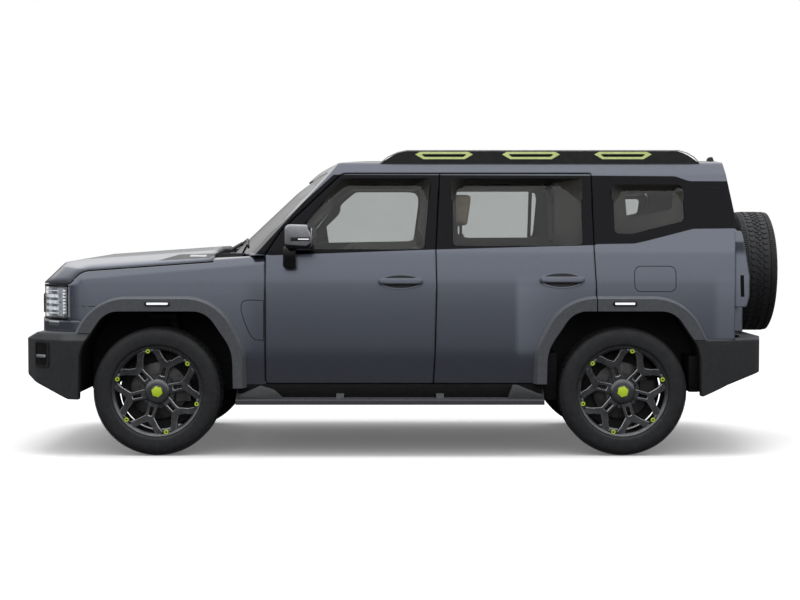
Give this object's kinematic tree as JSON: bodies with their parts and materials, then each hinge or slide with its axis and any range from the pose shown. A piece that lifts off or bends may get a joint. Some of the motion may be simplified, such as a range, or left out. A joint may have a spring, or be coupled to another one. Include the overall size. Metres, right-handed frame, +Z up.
{
  "type": "lifted off-road four-wheel-drive vehicle",
  "caption": "Boxy five-door off-road vehicle with raised ride height, black flares and bumpers, roof rails, side steps and a rear-mounted spare wheel.",
  "frame": {"origin": "bottom centre of the bounding box, on the ground", "axes": "+X rearward along the vehicle's length, +Y to the vehicle's right, +Z up"},
  "size_m": [4.6994, 2.21, 1.849],
  "materials": {
    "paint": "metallic slate grey",
    "side_glass": "dark tint",
    "trim": "grained black",
    "lamp": "clear lens",
    "rail": "satin",
    "underbody": "underseal",
    "engine": "cast",
    "interior": "soft",
    "seat": "brown",
    "tyre": "rubber",
    "rim": "dark graphite",
    "chassis": "black coated",
    "exhaust": "dull"
  },
  "bodies": {
    "body": {"body_side_left": "paint", "body_side_right": "paint", "roof_panel": "paint", "fender_left": "paint", "fender_right": "paint", "quarter_windows": "side_glass", "windscreen": "side_glass", "front_bumper": "trim", "rear_bumper": "trim", "arch_flares": "trim", "wheel_liners": "trim", "cowl_panel": "trim", "side_steps": "trim", "front_fascia": "trim", "grille": "trim", "headlamps": "lamp", "tail_lamps": "lamp", "roof_rails": "rail", "underbody": "underbody", "fuel_tank": "underbody", "engine": "engine", "dashboard": "interior", "front_seats": "seat", "rear_seat": "seat", "front_suspension": "chassis", "rear_suspension": "chassis", "exhaust": "exhaust"},
    "door_front_left": {"door_front_left": "paint", "glass_front_left": "side_glass", "mirror_left": "trim"},
    "door_rear_left": {"door_rear_left": "paint", "glass_rear_left": "side_glass", "door_flare_left": "trim"},
    "knuckle_left": {"knuckle_left": "chassis"},
    "wheel_front_left": {"tyre_front_left": "tyre", "rim_front_left": "rim"},
    "wheel_rear_left": {"tyre_rear_left": "tyre", "rim_rear_left": "rim"},
    "door_front_right": {"door_front_right": "paint", "glass_front_right": "side_glass", "mirror_right": "trim"},
    "door_rear_right": {"door_rear_right": "paint", "glass_rear_right": "side_glass", "door_flare_right": "trim"},
    "knuckle_right": {"knuckle_right": "chassis"},
    "wheel_front_right": {"tyre_front_right": "tyre", "rim_front_right": "rim"},
    "wheel_rear_right": {"tyre_rear_right": "tyre", "rim_rear_right": "rim"},
    "hood": {"hood": "paint"},
    "tailgate": {"tailgate": "paint", "tailgate_glass": "side_glass", "spare_carrier": "chassis", "spare_rim": "rim", "spare_tyre": "tyre"},
    "steering_wheel": {"steering_wheel": "interior"}
  },
  "joints": [
    {"name": "door_front_left_hinge", "type": "hinge", "parent": "body", "child": "door_front_left", "pos_m": [-0.85, -0.945, 0.8], "axis": [0, 0, -1], "range_deg": [0, 65]},
    {"name": "door_rear_left_hinge", "type": "hinge", "parent": "body", "child": "door_rear_left", "pos_m": [0.166, -0.945, 0.8], "axis": [0, 0, -1], "range_deg": [0, 70]},
    {"name": "steer_left", "type": "hinge", "parent": "body", "child": "knuckle_left", "pos_m": [-1.505, -0.76, 0.386], "axis": [0, 0, 1], "range_deg": [-33, 33]},
    {"name": "wheel_front_left_spin", "type": "hinge", "parent": "knuckle_left", "child": "wheel_front_left", "pos_m": [-1.505, -0.82, 0.386], "axis": [0, 1, 0], "continuous": true},
    {"name": "wheel_rear_left_spin", "type": "hinge", "parent": "body", "child": "wheel_rear_left", "pos_m": [1.295, -0.82, 0.386], "axis": [0, 1, 0], "continuous": true},
    {"name": "door_front_right_hinge", "type": "hinge", "parent": "body", "child": "door_front_right", "pos_m": [-0.85, 0.945, 0.8], "axis": [0, 0, 1], "range_deg": [0, 65]},
    {"name": "door_rear_right_hinge", "type": "hinge", "parent": "body", "child": "door_rear_right", "pos_m": [0.166, 0.945, 0.8], "axis": [0, 0, 1], "range_deg": [0, 70]},
    {"name": "steer_right", "type": "hinge", "parent": "body", "child": "knuckle_right", "pos_m": [-1.505, 0.76, 0.386], "axis": [0, 0, 1], "range_deg": [-33, 33]},
    {"name": "wheel_front_right_spin", "type": "hinge", "parent": "knuckle_right", "child": "wheel_front_right", "pos_m": [-1.505, 0.82, 0.386], "axis": [0, 1, 0], "continuous": true},
    {"name": "wheel_rear_right_spin", "type": "hinge", "parent": "body", "child": "wheel_rear_right", "pos_m": [1.295, 0.82, 0.386], "axis": [0, 1, 0], "continuous": true},
    {"name": "hood_hinge", "type": "hinge", "parent": "body", "child": "hood", "pos_m": [-1.18, 0, 1.262], "axis": [0, 1, 0], "range_deg": [0, 50]},
    {"name": "tailgate_hinge", "type": "hinge", "parent": "body", "child": "tailgate", "pos_m": [2.02, 0.8, 1], "axis": [0, 0, 1], "range_deg": [0, 90]},
    {"name": "steering_wheel_turn", "type": "hinge", "parent": "body", "child": "steering_wheel", "pos_m": [-0.495, -0.395, 1.04], "axis": [0.9063, 0, 0.4226], "range_deg": [-500, 500]}
  ],
  "couplings": [
    {"joint": "steer_right", "follows": "steer_left", "ratio": 1},
    {"joint": "steering_wheel_turn", "follows": "steer_left", "ratio": 15}
  ]
}
